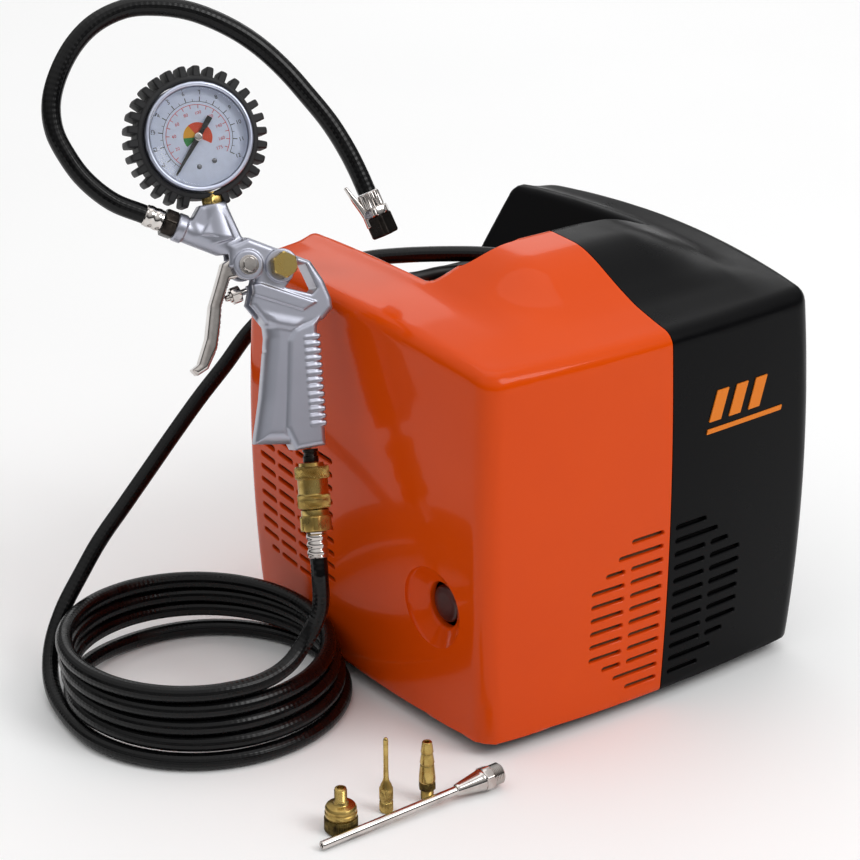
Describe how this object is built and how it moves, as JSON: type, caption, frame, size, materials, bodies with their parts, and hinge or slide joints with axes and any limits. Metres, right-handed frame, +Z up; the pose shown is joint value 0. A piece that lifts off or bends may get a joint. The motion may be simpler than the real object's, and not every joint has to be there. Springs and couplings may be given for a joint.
{
  "type": "air compressor",
  "caption": "Portable oil-less air compressor in a crowned cube casing with a hose, an inflator gun with gauge, and adapters.",
  "frame": {"origin": "on the floor under the middle of the casing, at the bottom of its feet", "axes": "+Z up, -Y the front face with the vents and badge, +X towards the black end"},
  "size_m": [0.4775, 0.4429, 0.4531],
  "materials": {
    "orange_shell": "glossy moulded ABS",
    "black_shell": "satin moulded ABS",
    "rubber": "matt moulded rubber",
    "hose": "glossy extruded rubber",
    "steel": "machined steel",
    "alloy": "die-cast aluminium",
    "copper": "copper",
    "silver_paint": "silver grey paint on die-cast zinc",
    "brass": "turned brass",
    "chrome": "plated steel",
    "dial": "printed dial",
    "needle": "black enamel",
    "lens": "clear acrylic"
  },
  "bodies": {
    "casing": {"shell_orange": "orange_shell", "shell_black": "black_shell", "base_plate": "black_shell", "foot_front_left": "rubber", "foot_front_right": "rubber", "foot_rear_left": "rubber", "foot_rear_right": "rubber", "badge": "orange_shell", "switch_frame": "black_shell", "motor_stator": "steel", "bracket_fan_end": "alloy", "bearing_fan_end": "steel", "bracket_pump_end": "alloy", "bearing_pump_end": "steel", "cylinder": "alloy", "cylinder_head": "alloy", "crankcase": "alloy", "intake_filter": "black_shell", "delivery_tube": "copper", "outlet_fitting": "brass", "mains_gland": "rubber", "hose_ferrule_outlet": "chrome", "hose_upper": "hose", "hose_coil": "hose", "hose_riser": "hose", "hose_ferrule_gun": "chrome", "coupler_body": "brass", "coupler_plug": "steel", "gun_body": "silver_paint", "whip_nut": "steel", "valve_cap": "brass", "valve_nut": "chrome", "trigger_pin": "steel", "gauge_stem": "brass", "gauge_case": "chrome", "gauge_boot": "rubber", "gauge_dial": "dial", "gauge_lens": "lens", "whip_ferrule": "chrome", "whip_hose": "hose", "chuck_body": "chrome", "lead_drop": "rubber", "lead_coil": "rubber", "lead_tail": "rubber", "mains_plug": "rubber", "adapter_valve": "brass", "adapter_needle": "brass", "adapter_cone": "brass", "blow_nozzle": "chrome"},
    "rotor": {"armature": "copper", "motor_fan": "black_shell", "crank_disc": "steel"},
    "piston": {"piston_rod": "alloy"},
    "reset": {"reset_button": "rubber"},
    "rocker": {"switch_rocker": "rubber"},
    "trigger": {"gun_trigger": "chrome"},
    "valve": {"valve_stem": "steel"},
    "needle": {"gauge_needle": "needle"},
    "sleeve": {"coupler_sleeve": "brass"},
    "clip": {"chuck_lever": "chrome"}
  },
  "joints": [
    {"name": "motor_spin", "type": "hinge", "parent": "casing", "child": "rotor", "pos_m": [0, 0.025, 0.084], "axis": [1, 0, 0], "continuous": true},
    {"name": "rod_on_crank_pin", "type": "hinge", "parent": "rotor", "child": "piston", "pos_m": [0.0603, 0.025, 0.078], "axis": [1, 0, 0], "continuous": true},
    {"name": "reset_button_press", "type": "slide", "parent": "casing", "child": "reset", "axis": [1, 0, 0], "range_m": [0, 0.002], "stiffness_N_per_m": 600},
    {"name": "power_switch", "type": "hinge", "parent": "casing", "child": "rocker", "pos_m": [0.07, 0.14166, 0.15], "axis": [1, 0, 0], "range_deg": [0, 12]},
    {"name": "trigger_squeeze", "type": "hinge", "parent": "casing", "child": "trigger", "pos_m": [-0.18822, 0.04462, 0.29383], "axis": [-0.2712, -0.882, 0.3854], "range_deg": [0, 7], "stiffness_Nm_per_rad": 0.6, "springref_deg": -14.32},
    {"name": "valve_stem_push", "type": "slide", "parent": "casing", "child": "valve", "axis": [0.9551, -0.1968, 0.2216], "range_m": [0, 0.004]},
    {"name": "gauge_needle_sweep", "type": "hinge", "parent": "casing", "child": "needle", "pos_m": [-0.19886, 0.07703, 0.37193], "axis": [0.2712, 0.882, -0.3854], "range_deg": [0, 270], "stiffness_Nm_per_rad": 0.00005, "springref_deg": -17.19},
    {"name": "coupler_sleeve_release", "type": "slide", "parent": "casing", "child": "sleeve", "axis": [-0.1609, -0.3532, -0.9216], "range_m": [0, 0.004], "stiffness_N_per_m": 800, "springref_m": -0.003},
    {"name": "chuck_clip_release", "type": "hinge", "parent": "casing", "child": "clip", "pos_m": [-0.10473, 0.02626, 0.31055], "axis": [0.2712, 0.882, -0.3854], "range_deg": [0, 6], "stiffness_Nm_per_rad": 0.2, "springref_deg": -11.46}
  ],
  "couplings": [
    {"joint": "rod_on_crank_pin", "follows": "motor_spin", "ratio": -1},
    {"joint": "valve_stem_push", "follows": "trigger_squeeze", "m_per_rad": 0.0229}
  ]
}
